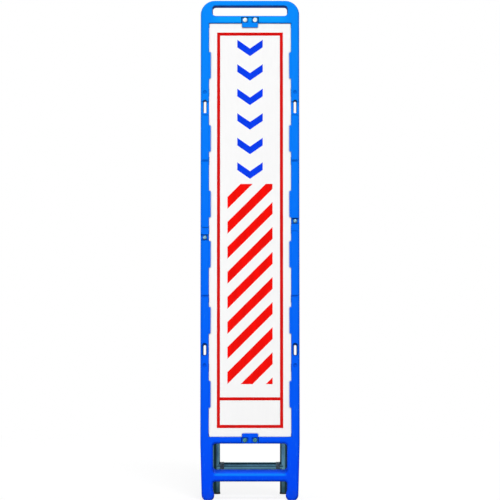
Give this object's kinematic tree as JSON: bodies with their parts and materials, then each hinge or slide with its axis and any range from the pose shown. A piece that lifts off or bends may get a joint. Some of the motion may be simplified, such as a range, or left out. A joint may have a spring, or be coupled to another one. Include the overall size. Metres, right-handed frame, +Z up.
{
  "type": "standing signboard",
  "caption": "Slim blue moulded sign frame with a carrying handle and a tall bordered white plate, leaning on a folding steel tube stand with slotted stays.",
  "frame": {"origin": "on the ground under the middle of the open signboard's box", "axes": "+Z up, +X to the viewer's right, the sign faces -Y and the stand is towards +Y"},
  "size_m": [0.334, 0.2678, 1.6819],
  "materials": {
    "frame_plastic": "blue moulded polyethylene with a soft sheen",
    "plate_white": "white sheet plastic",
    "film_white": "white printed film",
    "print_red": "red screen ink on the film",
    "print_blue": "blue screen ink on the film",
    "bright_screw": "bright zinc plated steel",
    "zinc_steel": "zinc plated steel",
    "galvanised_tube": "dull galvanised steel tube",
    "dark_collar": "dark painted steel",
    "black_plastic": "black nylon",
    "black_rubber": "black rubber"
  },
  "bodies": {
    "frame": {"moulded_frame": "frame_plastic", "sign_plate": "plate_white", "sign_film": "film_white", "top_clip": "frame_plastic", "bottom_clip": "frame_plastic", "top_clip_screws": "bright_screw", "bottom_clip_screws": "bright_screw", "left_hinge_bracket": "zinc_steel", "right_hinge_bracket": "zinc_steel", "hinge_bolts": "bright_screw", "hinge_washers": "bright_screw", "hinge_nuts": "bright_screw", "hinge_axle": "zinc_steel", "axle_centre_spacer": "black_plastic", "axle_side_spacers": "black_plastic", "axle_end_caps": "black_plastic", "left_stay_bracket": "zinc_steel", "right_stay_bracket": "zinc_steel", "stay_bracket_screws": "bright_screw", "stay_studs": "bright_screw", "stay_stud_nuts": "bright_screw"},
    "stand": {"left_leg_tube": "galvanised_tube", "right_leg_tube": "galvanised_tube", "left_leg_foot": "black_rubber", "right_leg_foot": "black_rubber", "leg_top_plugs": "black_plastic", "cross_tube": "galvanised_tube", "cross_tube_collars": "dark_collar", "stay_pivot_bolts": "bright_screw", "stay_pivot_spacers": "black_plastic", "stay_pivot_nuts": "bright_screw"},
    "left_stay": {"left_stay_arm": "zinc_steel"},
    "right_stay": {"right_stay_arm": "zinc_steel"}
  },
  "joints": [
    {"name": "stand_fold", "type": "hinge", "parent": "frame", "child": "stand", "pos_m": [0, 0.01777, 0.90214], "axis": [1, 0, 0], "range_deg": [-12.5, 0]},
    {"name": "left_stay_swing", "type": "hinge", "parent": "stand", "child": "left_stay", "pos_m": [-0.1365, 0.0789, 0.36561], "axis": [1, 0, 0], "range_deg": [-9.2, 0]},
    {"name": "right_stay_swing", "type": "hinge", "parent": "stand", "child": "right_stay", "pos_m": [0.1365, 0.0789, 0.36561], "axis": [1, 0, 0], "range_deg": [-9.2, 0]}
  ],
  "couplings": [
    {"joint": "left_stay_swing", "follows": "stand_fold", "ratio": 0.73511},
    {"joint": "right_stay_swing", "follows": "stand_fold", "ratio": 0.73511}
  ]
}
